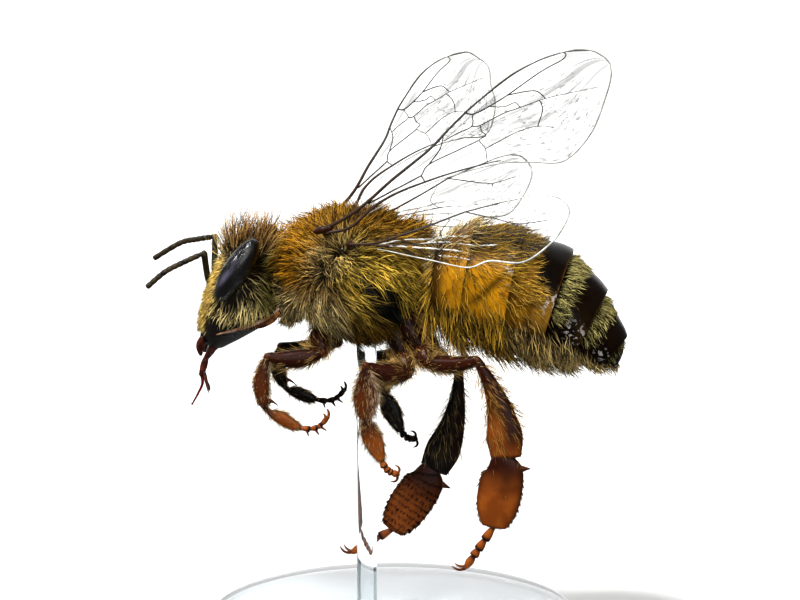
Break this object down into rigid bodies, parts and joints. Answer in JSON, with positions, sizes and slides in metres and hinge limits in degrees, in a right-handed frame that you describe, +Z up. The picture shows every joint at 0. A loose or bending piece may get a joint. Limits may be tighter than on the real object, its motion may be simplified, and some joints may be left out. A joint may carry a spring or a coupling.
{
  "type": "honey bee",
  "caption": "Life-size worker honey bee in a flying pose, a still museum-style model held up by a clear rod and base.",
  "frame": {"origin": "centre of the underside of the display stand's base", "axes": "+Z up; -X is the way the bee's head points, -Y its left side"},
  "size_m": [0.0146, 0.0155, 0.0181],
  "materials": {
    "head_coat": "short dense hair over dark shell",
    "thorax_coat": "dense golden-brown hair",
    "abdomen_shell": "amber and black-brown shell plates with hair bands",
    "eye": "glossy faceted",
    "antenna_shell": "satin",
    "mouth_shell": "glossy",
    "leg_shell": "glossy with fine hair",
    "wing_membrane": "clear film with brown veins",
    "clear_acrylic": "polished"
  },
  "bodies": {
    "root": {"abdomen_1": "abdomen_shell", "abdomen_2": "abdomen_shell", "abdomen_3": "abdomen_shell", "abdomen_4": "abdomen_shell", "abdomen_5": "abdomen_shell", "abdomen_6": "abdomen_shell", "antenna_left_flagellum": "antenna_shell", "antenna_left_scape": "antenna_shell", "antenna_right_flagellum": "antenna_shell", "antenna_right_scape": "antenna_shell", "eye_left": "eye", "eye_right": "eye", "head": "head_coat", "leg_fore_left_basitarsus": "leg_shell", "leg_fore_left_femur": "leg_shell", "leg_fore_left_foot": "leg_shell", "leg_fore_left_hip": "leg_shell", "leg_fore_left_tibia": "leg_shell", "leg_fore_right_basitarsus": "leg_shell", "leg_fore_right_femur": "leg_shell", "leg_fore_right_foot": "leg_shell", "leg_fore_right_hip": "leg_shell", "leg_fore_right_tibia": "leg_shell", "leg_hind_left_basitarsus": "leg_shell", "leg_hind_left_femur": "leg_shell", "leg_hind_left_foot": "leg_shell", "leg_hind_left_hip": "leg_shell", "leg_hind_left_tibia": "leg_shell", "leg_hind_right_basitarsus": "leg_shell", "leg_hind_right_femur": "leg_shell", "leg_hind_right_foot": "leg_shell", "leg_hind_right_hip": "leg_shell", "leg_hind_right_tibia": "leg_shell", "leg_mid_left_basitarsus": "leg_shell", "leg_mid_left_femur": "leg_shell", "leg_mid_left_foot": "leg_shell", "leg_mid_left_hip": "leg_shell", "leg_mid_left_tibia": "leg_shell", "leg_mid_right_basitarsus": "leg_shell", "leg_mid_right_femur": "leg_shell", "leg_mid_right_foot": "leg_shell", "leg_mid_right_hip": "leg_shell", "leg_mid_right_tibia": "leg_shell", "mandible_left": "mouth_shell", "mandible_right": "mouth_shell", "mouth_base": "mouth_shell", "stand_base": "clear_acrylic", "stand_rod": "clear_acrylic", "tegula_left": "leg_shell", "tegula_right": "leg_shell", "thorax": "thorax_coat", "tongue": "mouth_shell", "tongue_sheath": "mouth_shell", "waist": "abdomen_shell", "wing_forewing_left": "wing_membrane", "wing_forewing_right": "wing_membrane", "wing_hindwing_left": "wing_membrane", "wing_hindwing_right": "wing_membrane"}
  },
  "joints": []
}
